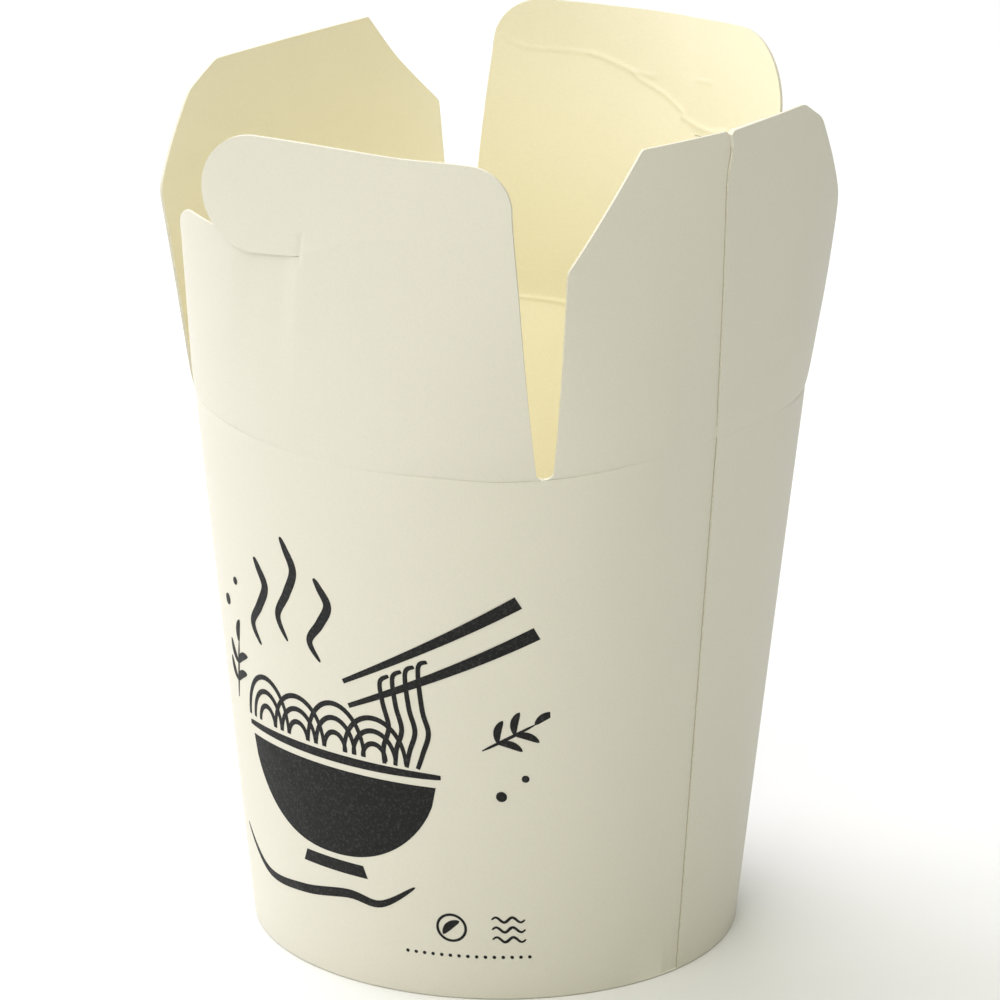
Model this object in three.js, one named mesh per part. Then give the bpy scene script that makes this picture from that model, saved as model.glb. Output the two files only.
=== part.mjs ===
// Round-based takeaway box for noodles: a conical paperboard wall on a recessed round base, and
// four flaps that stand open above the crease. Units are millimetres, with +Z up. The front
// closure flap faces -Y, and the side with the glued seam faces +X.

import * as THREE from 'three';

// Board and glued seam
const BOARD = 0.5; // thickness of the paperboard
const GAP = 0.3; // clearance between separate pieces
const LAP = 11; // width of the glued seam's hidden ply
const SEAM_FADE = 14; // the under ply comes level with the outer face over this width
const SEAM_STEP = 0.32; // the pressed plies of the seam differ by this much
const SEAM_SHARE = -0.069; // place of the seam on the right side, as a share of half that side

// Body
const BASE_RADIUS = 45; // outer radius at the floor
const CREASE_HEIGHT = 102.6; // height of the crease at the slots
const CORNER_RADIUS = 55.7; // mouth radius at the four slots
const WALL_COLUMNS = 96;
const CLEAR_OF_STEP = 1; // degrees between a regular column and a step of the seam
const QUARTERS = [0.25, 0.5, 0.75, 1]; // shares of the height at which the wall has points
const HALF_SIDE = Math.PI / 4; // each flap takes a quarter of the mouth

// Base disc with its skirt, and the wall's hem that is rolled up inside the skirt
const BASE_LEVEL = 8; // top face of the base disc
const HEM_TOP = 7;
const BASE_FLARE = 0.05; // the skirt widens upwards with the wall
const SKIRT_CLEARANCE = 4; // the wall's inner face starts this far above the disc
const BASE_COLUMNS = 72;

// Flaps
const HEAD_HEIGHT = 56; // slant height at which a flap's head is described
const FAN = 0.078; // a flap widens by this much radius for each millimetre of height
const FLAP_RISE = 0.4; // a flap's lower edge clears the wall by this much
const STEP = 0.05; // width of a step between two plies
const DUST_ROW_HEIGHT = 6.5; // of a dust flap's rows of triangles, at most
const LOW_ROWS = 6; // rows of triangles of a closure flap up to its slit
const HIGH_ROWS = 4; // and above it
const COLUMNS = { // columns of triangles along the stretches of a closure flap's edges
  flatTop: 3, risingTop: 4, corner: 5, tabEnd: 6, tabNeck: 4,
  earCorner: 3, earTop: 2, earRoot: 4, slit: 3,
};

// The two kinds of flap: lengths on the flat board, to the right and up from the crease
const DUST = { crease: 40.1, height: 57.7, sideRadius: 50.1, creaseRise: 0.3 };
const CLOSURE = {
  crease: 41.2, taper: 0.15, height: 57.7, sideRadius: 52.4, creaseRise: -1.7,
  riseFrom: 8, cornerTop: 58.4, cornerRadius: 8.3, // the top edge rises to its rounded corner
  tabCentre: [-18, 46.5], tabRadius: 11.15, // round end of the locking tab
  slitEnd: [-7.5, 36.4], slitWidth: 0.4, // the slit frees the tab from the ear below it
  earHeight: 41.6, earRadius: 3, earRoot: [-27.5, 39.7], // earRoot is where the tab leaves it
};

// The four flaps as they stand open. reach and shift place the middle of the head, outwards and
// to the right; turn and headRadius say how the head faces and curves; hollow is how far the
// flap's middle sags inwards; ridge is the bend along the seam; tabLift is how far the free tab
// springs outwards. The outlines of a dust flap run up from the crease, as distances from the
// flap's middle and heights.
const FLAPS = [
  { name: 'flap_front', kind: CLOSURE, facing: 0, tabLift: 0.15,
    reach: 56.1, headRadius: 344, turn: 7.8, shift: 7.4, hollow: -0.1, ridge: 0 },
  { name: 'flap_right', kind: DUST, facing: 90,
    reach: 53.7, headRadius: 243, turn: -10.7, shift: -2.6, hollow: -0.3, ridge: 9.2,
    left: [[DUST.crease, 0], [38.4, 37.9], [22.5, DUST.height]],
    right: [[DUST.crease, 0], [37.6, 36.6], [26.8, 53.9], [20.4, DUST.height]] },
  { name: 'flap_back', kind: CLOSURE, facing: 180, tabLift: 0.4,
    reach: 54.0, headRadius: 57, turn: 6.6, shift: 2.5, hollow: 1.6, ridge: 0 },
  { name: 'flap_left', kind: DUST, facing: 270,
    reach: 47.1, headRadius: 760, turn: -3.6, shift: 3.8, hollow: 1.0, ridge: 0,
    left: [[DUST.crease, 0], [38.5, 38.4], [28.4, 48.7], [21.4, DUST.height]],
    right: [[DUST.crease, 0], [39.6, 38], [27.2, 53.4], [19.4, DUST.height]] },
];

const OUTER_BOARD = new THREE.MeshStandardMaterial({
  name: 'box_board', color: 0xf2eddc, roughness: 0.62, metalness: 0,
});
const BASE_BOARD = new THREE.MeshStandardMaterial({
  name: 'base_board', color: 0xf3e7b8, roughness: 0.5, metalness: 0,
});

const radians = THREE.MathUtils.degToRad;
const mix = THREE.MathUtils.lerp;

// ---- The mouth -------------------------------------------------------------------------------

// How near an angle from a side's middle is to that middle: 1 there, 0 at the slots.
function nearMiddle(angle) {
  return (1 + Math.cos(4 * angle)) / 2;
}

function mouthRadius(kind, angle) {
  return mix(CORNER_RADIUS, kind.sideRadius, nearMiddle(angle));
}

function creaseLevel(kind, angle) {
  return CREASE_HEIGHT + kind.creaseRise * nearMiddle(angle);
}

// The side that holds an azimuth (degrees from -Y towards +X), and the angle from its middle.
function sideAt(azimuth) {
  const index = Math.round(azimuth / 90) % 4;
  const angle = radians(azimuth - 90 * Math.round(azimuth / 90));
  return { flap: FLAPS[index], angle };
}

// ---- Plies of the glued seam ------------------------------------------------------------------

// How far the outer and inner faces lie inside the nominal outer face, at a distance to the
// right of the seam. The right ply lies outside and starts at the seam, with the left one under
// it as far as the lap reaches.
function plies(distance) {
  const sunk = distance < 0 ? SEAM_STEP * Math.max(0, 1 + distance / SEAM_FADE) : 0;
  const doubled = distance >= 0 && distance < LAP;
  return { outer: sunk, inner: sunk + BOARD + (doubled ? SEAM_STEP : 0) };
}

// ---- Wall and base ----------------------------------------------------------------------------

// Section of the wall at an azimuth, as [radius, height] points anticlockwise from the outer
// foot: up the outer face, down the inner one, and round the hem that is folded up inside.
function wallSection(azimuth, seamAzimuth) {
  const { flap, angle } = sideAt(azimuth);
  const top = creaseLevel(flap.kind, angle);
  const mouth = mouthRadius(flap.kind, angle);
  const ply = plies(radians(azimuth - seamAzimuth) * mouth);
  const radiusAt = (z) => mix(BASE_RADIUS, mouth, z / top);
  const hemOuter = BASE_RADIUS - 2 * BOARD - 2 * GAP;
  const outerFace = QUARTERS.map((t) => [radiusAt(t * top) - ply.outer, t * top]);
  const innerFace = [...QUARTERS].reverse().map((t) => [radiusAt(t * top) - ply.inner, t * top]);
  const faceEnd = BASE_LEVEL + SKIRT_CLEARANCE;
  return [
    [BASE_RADIUS, 0], ...outerFace, ...innerFace, [radiusAt(faceEnd) - ply.inner, faceEnd],
    [radiusAt(BASE_LEVEL) - BOARD, BASE_LEVEL], [BASE_RADIUS - BOARD, BOARD],
    [hemOuter, BOARD], [hemOuter + BASE_FLARE * HEM_TOP, HEM_TOP],
    [hemOuter + BASE_FLARE * HEM_TOP - BOARD, HEM_TOP], [hemOuter - BOARD, 0],
  ];
}

// A closed solid through equal sections that stand at azimuths right round the Z axis.
function ringGeometry(azimuths, sectionAt) {
  const count = sectionAt(azimuths[0]).length;
  const positions = [];
  for (const azimuth of azimuths) {
    const turn = radians(azimuth);
    for (const [radius, z] of sectionAt(azimuth)) {
      positions.push(radius * Math.sin(turn), -radius * Math.cos(turn), z);
    }
  }
  const index = [];
  azimuths.forEach((_, i) => {
    const here = i * count;
    const there = ((i + 1) % azimuths.length) * count;
    for (let k = 0; k < count; k++) {
      const next = (k + 1) % count;
      index.push(here + k, there + k, there + next, here + k, there + next, here + next);
    }
  });
  return indexedGeometry(positions, index);
}

function indexedGeometry(positions, index) {
  const geometry = new THREE.BufferGeometry();
  geometry.setAttribute('position', new THREE.Float32BufferAttribute(positions, 3));
  geometry.setIndex(index);
  geometry.computeVertexNormals();
  return geometry;
}

function makeWall() {
  const seam = 90 + SEAM_SHARE * 45;
  const lapEnd = seam + THREE.MathUtils.radToDeg(LAP / mouthRadius(DUST, 0));
  const stepAngle = THREE.MathUtils.radToDeg(STEP / BASE_RADIUS);
  const azimuths = [];
  for (let i = 0; i < WALL_COLUMNS; i++) {
    const azimuth = (360 * i) / WALL_COLUMNS;
    const clear = [seam, lapEnd].every((a) => Math.abs(azimuth - a) > CLEAR_OF_STEP);
    if (clear) azimuths.push(azimuth);
  }
  azimuths.push(seam - stepAngle, seam, lapEnd - stepAngle, lapEnd);
  azimuths.sort((a, b) => a - b);
  return new THREE.Mesh(ringGeometry(azimuths, (a) => wallSection(a, seam)), OUTER_BOARD);
}

function makeBase() {
  const skirtOuter = (z) => BASE_RADIUS - BOARD - GAP + BASE_FLARE * z;
  const foot = BOARD + GAP;
  const under = BASE_LEVEL - BOARD;
  const profile = [
    [0, under], [skirtOuter(under) - BOARD, under], [skirtOuter(foot) - BOARD, foot],
    [skirtOuter(foot), foot], [skirtOuter(BASE_LEVEL), BASE_LEVEL], [0, BASE_LEVEL],
  ];
  const geometry = new THREE.LatheGeometry(
    profile.map(([radius, z]) => new THREE.Vector2(radius, z)), BASE_COLUMNS,
  );
  geometry.rotateX(Math.PI / 2);
  return new THREE.Mesh(geometry, BASE_BOARD);
}

// ---- A flap's surface -------------------------------------------------------------------------

// Share of the half side at a point of the flat board, x to the right and y up from the crease.
function shareAt(kind, x, y) {
  const meanRadius = (CORNER_RADIUS + kind.sideRadius) / 2;
  return x / (HALF_SIDE * (meanRadius + FAN * y));
}

function widthAt(kind, share, y) {
  return share * HALF_SIDE * ((CORNER_RADIUS + kind.sideRadius) / 2 + FAN * y);
}

// Point of the head's arc at a share of the half side, as [right, outwards].
function headPoint(flap, share) {
  const bend = (along) => [
    flap.headRadius * Math.sin(along / flap.headRadius),
    -flap.headRadius * (1 - Math.cos(along / flap.headRadius)),
  ];
  const along = widthAt(flap.kind, share, HEAD_HEIGHT);
  const ridgeAt = widthAt(flap.kind, SEAM_SHARE, HEAD_HEIGHT);
  let [right, out] = bend(along);
  if (along > ridgeAt) {
    const [ridgeRight, ridgeOut] = bend(ridgeAt);
    const ridge = radians(flap.ridge);
    const dx = right - ridgeRight;
    const dy = out - ridgeOut;
    right = ridgeRight + dx * Math.cos(ridge) + dy * Math.sin(ridge);
    out = ridgeOut - dx * Math.sin(ridge) + dy * Math.cos(ridge);
  }
  const turn = radians(flap.turn);
  return [
    flap.shift + right * Math.cos(turn) + out * Math.sin(turn),
    flap.reach - right * Math.sin(turn) + out * Math.cos(turn),
  ];
}

// Outer face of a flap at a point of the flat board: straight rulings run from the curved
// crease to the head. The result is in the flap's own axes: x right, y inwards, z up.
function flapPoint(flap, x, y) {
  const share = shareAt(flap.kind, x, y);
  const angle = share * HALF_SIDE;
  const radius = mouthRadius(flap.kind, angle);
  const foot = [radius * Math.sin(angle), radius * Math.cos(angle)];
  const head = headPoint(flap, share);
  const along = y - flap.kind.creaseRise * nearMiddle(angle);
  const slope = [(head[0] - foot[0]) / HEAD_HEIGHT, (head[1] - foot[1]) / HEAD_HEIGHT];
  const climb = Math.sqrt(1 - slope[0] ** 2 - slope[1] ** 2);
  const sag = (4 * flap.hollow * along * (along - HEAD_HEIGHT)) / HEAD_HEIGHT ** 2;
  return new THREE.Vector3(
    foot[0] + along * slope[0],
    -(foot[1] + along * slope[1] + sag),
    creaseLevel(flap.kind, angle) + along * climb,
  );
}

function flapNormal(flap, x, y) {
  const reach = 0.5;
  const across = flapPoint(flap, x + reach, y).sub(flapPoint(flap, x - reach, y));
  const up = flapPoint(flap, x, y + reach).sub(flapPoint(flap, x, y - reach));
  return across.cross(up).normalize();
}

// ---- The flat board of a flap -----------------------------------------------------------------

// Flat sheet of triangles that grows by spans between two lines of equally many points.
class Sheet {
  constructor() {
    this.points = [];
    this.triangles = [];
    this.known = new Map();
  }

  vertex(point) {
    const key = point.slice(0, 2).map((v) => v.toFixed(3)).join(' ');
    if (!this.known.has(key)) {
      this.known.set(key, this.points.length);
      this.points.push(point);
    }
    return this.known.get(key);
  }

  // lower and upper run from left to right; rows is how many strips lie between them.
  span(lower, upper, rows) {
    const between = (k, row) => lower[k].map((v, axis) => mix(v, upper[k][axis], row / rows));
    for (let row = 0; row < rows; row++) {
      for (let k = 0; k + 1 < lower.length; k++) {
        const [a, b, c, d] = [
          between(k, row), between(k + 1, row), between(k + 1, row + 1), between(k, row + 1),
        ].map((p) => this.vertex(p));
        if (a !== b && b !== c) this.triangles.push([a, b, c]);
        if (c !== d && d !== a) this.triangles.push([a, c, d]);
      }
    }
  }

  // Edges that only one triangle has, in that triangle's direction.
  rim() {
    const edges = new Map();
    for (const triangle of this.triangles) {
      triangle.forEach((from, k) => edges.set(`${from} ${triangle[(k + 1) % 3]}`, true));
    }
    return [...edges.keys()]
      .map((key) => key.split(' ').map(Number))
      .filter(([from, to]) => !edges.has(`${to} ${from}`));
  }
}

// Equally spaced points on a straight line, with both ends.
function line(from, to, count) {
  return Array.from({ length: count + 1 }, (_, i) => [
    mix(from[0], to[0], i / count), mix(from[1], to[1], i / count),
  ]);
}

function arc(centre, radius, fromDegrees, toDegrees, count) {
  return Array.from({ length: count + 1 }, (_, i) => {
    const turn = radians(mix(fromDegrees, toDegrees, i / count));
    return [centre[0] + radius * Math.cos(turn), centre[1] + radius * Math.sin(turn)];
  });
}

// Joins stretches of a line end to end, without the doubled points between them.
function join(...stretches) {
  return stretches.flatMap((stretch, i) => (i ? stretch.slice(1) : stretch));
}

// The lower edge along the crease, a little above it, between two half-widths.
function creaseEdge(kind, from, to, count) {
  return line([from, 0], [to, 0], count).map(([x]) => [
    x, FLAP_RISE + kind.creaseRise * nearMiddle(shareAt(kind, x, 0) * HALF_SIDE),
  ]);
}

// Distance of a dust flap's edge from its middle, at a height: its outline is a chain of straight
// stretches.
function halfWidth(outline, y) {
  const k = Math.max(1, outline.findIndex(([, height]) => height >= y));
  const [[x0, y0], [x1, y1]] = [outline[k - 1], outline[k]];
  return mix(x0, x1, (y - y0) / (y1 - y0));
}

// A row of a dust flap at one height. Where the flap carries the seam, columns run along it.
function dustRow(flap, y) {
  const seam = widthAt(DUST, SEAM_SHARE, y);
  const edge = halfWidth(flap.right, y);
  const stops = flap.ridge
    ? [[seam - STEP, 8], [seam, 1], [seam + LAP - STEP, 4], [seam + LAP, 1], [edge, 4]]
    : [[0, 8], [edge, 8]];
  let from = -halfWidth(flap.left, y);
  const stretches = stops.map(([to, count]) => {
    const stretch = line([from, y], [to, y], count);
    from = to;
    return stretch;
  });
  return join(...stretches);
}

function dustSheet(flap) {
  const sheet = new Sheet();
  const corners = [...flap.left, ...flap.right].map(([, y]) => y).filter((y) => y > 0);
  const heights = [...new Set(corners)].sort((a, b) => a - b);
  let lower = dustRow(flap, 0).map(([x]) => creaseEdge(DUST, x, x, 1)[0]);
  let from = 0;
  for (const height of heights) {
    const upper = dustRow(flap, height);
    sheet.span(lower, upper, Math.ceil((height - from) / DUST_ROW_HEIGHT));
    [lower, from] = [upper, height];
  }
  return sheet;
}

function closureSheet(flap) {
  const kind = CLOSURE;
  const [slitX, slitY] = kind.slitEnd;
  const [tabX, tabY] = kind.tabCentre;
  const half = kind.slitWidth / 2;
  const edgeAt = (y) => kind.crease - kind.taper * y;
  const sheet = new Sheet();
  const right = COLUMNS.flatTop + COLUMNS.risingTop + COLUMNS.corner;

  // right of the slit: below it, past its end, and above it
  const lowLine = line([slitX, slitY - half], [edgeAt(slitY - half), slitY - half], right);
  const highLine = line([slitX, slitY + half], [edgeAt(slitY + half), slitY + half], right);
  const cornerY = kind.cornerTop - kind.cornerRadius;
  const corner = [edgeAt(cornerY) - kind.cornerRadius, cornerY];
  const topRight = join(
    line([slitX, kind.height], [kind.riseFrom, kind.height], COLUMNS.flatTop),
    line([kind.riseFrom, kind.height], [corner[0], kind.cornerTop], COLUMNS.risingTop),
    arc(corner, kind.cornerRadius, 90, 0, COLUMNS.corner),
  );
  sheet.span(creaseEdge(kind, slitX, kind.crease, right), lowLine, LOW_ROWS);
  sheet.span(lowLine, highLine, 1);
  sheet.span(highLine, topRight, HIGH_ROWS);

  // the tab, with the lift that its free end has
  const lifted = (points) => points.map(([x, y]) => {
    const free = THREE.MathUtils.clamp((slitX - x) / (slitX - tabX), 0, 2);
    return [x, y, (flap.tabLift * free ** 2) / 2];
  });
  const under = join(
    arc(kind.tabCentre, kind.tabRadius, 180, 270, COLUMNS.tabEnd),
    line([tabX, tabY - kind.tabRadius], [slitX, slitY + half], COLUMNS.tabNeck),
  );
  const over = join(
    arc(kind.tabCentre, kind.tabRadius, 180, 90, COLUMNS.tabEnd),
    line([tabX, tabY + kind.tabRadius], [slitX, kind.height], COLUMNS.tabNeck),
  );
  sheet.span(lifted(under), lifted(over), HIGH_ROWS);

  // the ear, below the tab and beside it
  const root = kind.tabRadius + kind.slitWidth;
  const rootAngle = 180 + THREE.MathUtils.radToDeg(
    Math.atan2(tabY - kind.earRoot[1], tabX - kind.earRoot[0]),
  );
  const [rootPoint] = arc(kind.tabCentre, root, rootAngle, rootAngle, 1);
  const cornerX = kind.earRadius - edgeAt(kind.earHeight);
  const earTop = join(
    arc([cornerX, kind.earHeight - kind.earRadius], kind.earRadius, 180, 90, COLUMNS.earCorner),
    line([cornerX, kind.earHeight], rootPoint, COLUMNS.earTop),
    arc(kind.tabCentre, root, rootAngle, 270, COLUMNS.earRoot),
    line([tabX, tabY - root], [slitX, slitY - half], COLUMNS.slit),
  );
  sheet.span(creaseEdge(kind, -kind.crease, slitX, earTop.length - 1), earTop, LOW_ROWS);
  return sheet;
}

// A flap's closed solid: its flat sheet laid on the outer face, and again one board inside it.
function makeFlap(flap) {
  const sheet = flap.kind === DUST ? dustSheet(flap) : closureSheet(flap);
  const positions = [];
  const layer = (face) => sheet.points.forEach(([x, y, lift = 0]) => {
    const toSeam = flap.ridge ? x - widthAt(flap.kind, SEAM_SHARE, y) + STEP / 2 : -Infinity;
    const depth = plies(toSeam)[face];
    const point = flapPoint(flap, x, y).addScaledVector(flapNormal(flap, x, y), lift - depth);
    positions.push(point.x, point.y, point.z);
  });
  layer('outer');
  layer('inner');
  const count = sheet.points.length;
  const index = [];
  for (const [a, b, c] of sheet.triangles) {
    index.push(a, b, c, a + count, c + count, b + count);
  }
  for (const [a, b] of sheet.rim()) {
    index.push(b, a, a + count, b, a + count, b + count);
  }
  const mesh = new THREE.Mesh(indexedGeometry(positions, index), OUTER_BOARD);
  mesh.name = flap.name;
  mesh.rotation.z = radians(flap.facing);
  return mesh;
}

// ---- The box ----------------------------------------------------------------------------------

const box = new THREE.Group();
box.name = 'noodle_box';
const wall = makeWall();
wall.name = 'wall';
const base = makeBase();
base.name = 'base';
box.add(wall, base, ...FLAPS.map(makeFlap));

// The origin is on the floor under the middle of the whole box, open flaps included.
const extent = new THREE.Box3().setFromObject(box, true);
const middle = extent.getCenter(new THREE.Vector3());
box.position.set(-middle.x, -middle.y, 0);

const group = new THREE.Group();
group.add(box);

export default group;
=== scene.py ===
"""Looks of the open noodle takeaway box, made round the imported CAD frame.

The board is modelled from the driving dimensions of the CAD solids, with what they leave out:
creases, slots, raw edges, the tabs' slits and folds, the glued seam and the print. Shapes are in
millimetres about the axis of the round base, and placed in the frame in metres.
"""
import math
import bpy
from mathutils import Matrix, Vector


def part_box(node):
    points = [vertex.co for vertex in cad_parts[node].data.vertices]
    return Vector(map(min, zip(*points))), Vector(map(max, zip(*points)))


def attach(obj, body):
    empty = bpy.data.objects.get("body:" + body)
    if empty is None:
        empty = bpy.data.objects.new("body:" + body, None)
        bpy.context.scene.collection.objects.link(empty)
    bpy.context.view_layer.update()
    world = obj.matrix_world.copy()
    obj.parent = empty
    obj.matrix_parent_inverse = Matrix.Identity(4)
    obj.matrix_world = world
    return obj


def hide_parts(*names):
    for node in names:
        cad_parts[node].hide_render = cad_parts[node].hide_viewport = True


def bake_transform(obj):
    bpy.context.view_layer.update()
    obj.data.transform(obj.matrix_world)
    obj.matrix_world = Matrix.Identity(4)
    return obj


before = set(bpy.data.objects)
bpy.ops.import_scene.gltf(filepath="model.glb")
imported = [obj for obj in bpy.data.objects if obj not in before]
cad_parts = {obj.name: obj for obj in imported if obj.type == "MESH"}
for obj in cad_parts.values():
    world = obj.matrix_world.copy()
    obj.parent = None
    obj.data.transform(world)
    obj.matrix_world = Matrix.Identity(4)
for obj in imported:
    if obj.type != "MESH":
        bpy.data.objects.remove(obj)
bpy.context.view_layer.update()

from types import SimpleNamespace

import bmesh
import bpy
import numpy as np
from mathutils import Matrix, Vector

MM = 0.001

# ---- Driving dimensions, in millimetres and degrees ----

BOARD = 0.5  # thickness of the paperboard
LAP = 11  # width of the glued seam's hidden ply
SEAM_FADE = 14  # the left ply sinks under the right one over this width
SEAM_SHARE = -0.064  # place of the seam on the right side, as a share of half that side
RIDGE_SHARE = -0.069  # and of the bend beside it
SEAM_LEAN = -2.2  # degrees that the seam runs aside from the crease down to the floor
SEAM_STEP = 0.32  # the pressed plies of the seam differ by this much

BASE_RADIUS = 45
CREASE_HEIGHT = 102.6
CORNER_RADIUS = 55.7  # mouth radius at the four slots
HALF_SIDE = math.pi / 4
BASE_LEVEL = 8
HEM_TOP = 7

HEAD_HEIGHT = 56  # slant height at which a flap's head is described
FAN = 0.078  # a flap widens by this much radius for each millimetre of height

# The two kinds of flap. crease is half the width at the crease. In the middle of its side the
# mouth has side_radius and the crease rises by crease_rise. The scored line swells once more
# swell_at degrees from the slots.
DUST = SimpleNamespace(
    crease=40.1, height=57.7, side_radius=50.1, crease_rise=0.3, swell_at=13, swell_width=8,
)
CLOSURE = SimpleNamespace(
    crease=41.2, taper=0.15, height=57.7, corner_top=58.4, corner_radius=8.3,
    side_radius=52.4, crease_rise=-1.7, swell_at=21, swell_width=11,
    tab_centre=(-18, 46.5), tab_radius=11.15, slit_end=(-7.5, 36.4), slit_width=0.12,
    ear_top=39.4, ear_radius=4.8, ear_root=(-26, 37.5),
)
# Each flap as it stands open. reach and shift place its head's middle, outwards and to the right;
# turn and head_radius face and curve it; the flap's middle sags inwards by hollow; ridge is the
# bend along the seam. left and right run up a dust flap's edge: distance from the middle, height,
# rounding of the corner. A closure flap's tab lies tab_reach further out and tab_rise higher than
# CLOSURE says, and its free end lifts by tab_lift. top_rise raises the top edge, edge_in draws the
# right edge in. The ear ends at ear_edge, lies ear_sink behind the tab, and bends back.
FLAPS = [
    SimpleNamespace(
        name="flap_front", kind=CLOSURE, facing=0, reach=56.1, head_radius=344,
        turn=7.8, shift=7.4, hollow=-0.1, ridge=0, tab_lift=0.15, ear_sink=0.45,
        tab_reach=0, tab_rise=0, top_rise=0, edge_in=0.5, ear_edge=-40.2,
        ear_bend=0.0045),
    SimpleNamespace(
        name="flap_right", kind=DUST, facing=90, reach=53.7, head_radius=243,
        turn=-10.7, shift=-2.6, hollow=-0.3, ridge=9.2,
        left=[(40.1, 0, 0), (38.4, 37.9, 1), (22.5, 57.7, 0.6)],
        right=[(40.1, 0, 0), (37.6, 36.6, 3), (26.8, 53.9, 1.4), (20.4, 57.7, 1)]),
    SimpleNamespace(
        name="flap_back", kind=CLOSURE, facing=180, reach=54.0, head_radius=57,
        turn=6.6, shift=3.1, hollow=1.6, ridge=0, tab_lift=0.4, ear_sink=0.2,
        tab_reach=2.1, tab_rise=1.0, top_rise=0.5, edge_in=0, ear_edge=-35,
        ear_bend=0),
    SimpleNamespace(
        name="flap_left", kind=DUST, facing=270, reach=47.1, head_radius=760,
        turn=-3.6, shift=3.8, hollow=1.0, ridge=0,
        left=[(40.1, 0, 0), (38.5, 38.4, 0.5), (28.4, 48.7, 4), (21.4, 57.8, 0.3)],
        right=[(40.1, 0, 0), (39.6, 38, 1.6), (27.2, 53.4, 1.6), (19.4, 57.7, 1)]),
]

SEAM_AZIMUTH = 90 + SEAM_SHARE * math.degrees(HALF_SIDE)

# Relief that the solids leave out. A scored line along each crease raises a bead inside.
GROOVE_BELOW, GROOVE_ABOVE = 0.33, 0.45  # width of its flank on the wall, and on a flap
GROOVE_LEAST = 0.03
GROOVE_SWELL, GROOVE_AT_SLOT = 0.16, 0.13  # deeper where it swells, and near a slot
NEAR_SLOT, GROOVE_STOP = 7, 1.8  # degrees from a slot within which it is so, and runs out
CREASE_BENDS = [(66, 12, 0.55), (38, 10, -0.55)]  # azimuth, spread and rise where it strays
BEAD_HEIGHT, BEAD_WIDTH = 0.2, 0.5
ROOT_BULGE = 0.55  # a flap's ends spring outwards above the crease
ROOT_MIDDLE = 0.25  # and its middle by this share of that
ROOT_SHARPNESS = 3  # how closely the bulge keeps to the ends
ROOT_RISE, ROOT_FADE = 3, 18  # heights over which it builds up and fades
SLOT_FILLET = 1.3  # radius of a slot's rounded bottom
SLOT_OVERLAP = 0.05  # of the flaps beside it
SLOT_SHARPNESS = 12  # how closely the rounding keeps to it
FOOT_ROUND = 0.45
SEAM_SHADOW_WIDTH = 0.16  # width of the painted shadow: a dark strip at the foot of the seam's raw edge, standing for the shade in the gap there
WALL_EDGE_RUN, FLAP_EDGE_RUN = 0.02, 0.03  # width in which that edge rises
LAP_END_RUN = 0.06  # and in which the hidden ply ends
SEAM_STRAY = 0.5  # the seam strays to the left above the crease
STRAY_RISE, STRAY_FADE = 4, 45  # heights over which it does so and comes back
SEAM_BOW = 1.0  # near the top it bows out to the right
BOW_HEIGHT, BOW_SPREAD = 54.3, 3.4
SEAM_PEEL = 0.3  # there the outer ply stands off
PEEL_HEIGHT, PEEL_WIDTH = 6, 3
NOTCH_DEPTH = 0.65  # the top edge dips where the raw edge runs out of it
NOTCH_FROM = 54.5  # height from which the board gives way to that
NOTCH_PLACE, NOTCH_WIDTH = 0.1, 0.45  # to the right of the raw edge

_base_low, _base_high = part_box("base")
AXIS_X = (_base_low.x + _base_high.x) / 2
AXIS_Y = (_base_low.y + _base_high.y) / 2


def mix(a, b, t):
    return a + (b - a) * t


def bell(distance, width):
    return np.exp(-(distance / width) ** 2)


def way(value, start, end):
    """How far the value has come from start to end, from 0 to 1."""
    return min(1, max(0, (value - start) / (end - start)))


def rotated(x, y, turn):
    return x * np.cos(turn) - y * np.sin(turn), x * np.sin(turn) + y * np.cos(turn)


# ---- Materials ----

# the last of these is a painted shadow: the dark strip at the foot of the seam's raw edge
OUTER, INNER, EDGE, SEAM_SHADOW = range(4)

# noise scales, per metre
CLOUD_SCALE, GRAIN_SCALE, GLOSS_SCALE, TOOTH_SCALE = 70, 3000, 900, 2600
FLECK_SCALE, INK_GLOSS_SCALE = 1900, 600
FLOOR_SCALE = 3
CLOUD_DARKENS = 0.012  # the cloudy formation takes off this share of the colour
GLOSS_SPREAD = 0.03  # roughness varies by this much either way
TOOTH_HEIGHT = 0.05
# the Mix node's colour sockets, which share their names with those of other types
MIX_A, MIX_B, MIX_RESULT = 6, 7, 2


def put(node, socket, value):
    node.inputs[socket].default_value = value


def node_material(name):
    material = bpy.data.materials.new(name)
    material.use_nodes = True
    tree = material.node_tree
    shader = tree.nodes["Principled BSDF"]
    return material, tree, shader


def add_noise(tree, scale, detail, roughness=0.5):
    coordinates = tree.nodes.new("ShaderNodeTexCoord")
    noise = tree.nodes.new("ShaderNodeTexNoise")
    put(noise, "Scale", scale)
    put(noise, "Detail", detail)
    put(noise, "Roughness", roughness)
    tree.links.new(coordinates.outputs["Object"], noise.inputs["Vector"])
    return noise.outputs["Fac"]


def add_ramp(tree, value, stops):
    ramp = tree.nodes.new("ShaderNodeValToRGB")
    tree.links.new(value, ramp.inputs["Fac"])
    elements = ramp.color_ramp.elements
    while len(elements) < len(stops):
        elements.new(0.5)
    for element, (place, colour) in zip(elements, stops):
        element.position = place
        element.color = (*colour, 1)
    return ramp.outputs["Color"]


def noise_ramp(tree, scale, detail, low, high, stops=(0.3, 0.7)):
    """Noise from a low colour to a high one between two stops."""
    return add_ramp(tree, add_noise(tree, scale, detail), list(zip(stops, (low, high))))


def multiply(tree, first, second):
    blend = tree.nodes.new("ShaderNodeMix")
    blend.data_type = "RGBA"
    blend.blend_type = "MULTIPLY"
    put(blend, "Factor", 1)
    tree.links.new(first, blend.inputs[MIX_A])
    tree.links.new(second, blend.inputs[MIX_B])
    return blend.outputs[MIX_RESULT]


def shade(value):
    return (value, value, value)


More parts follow.
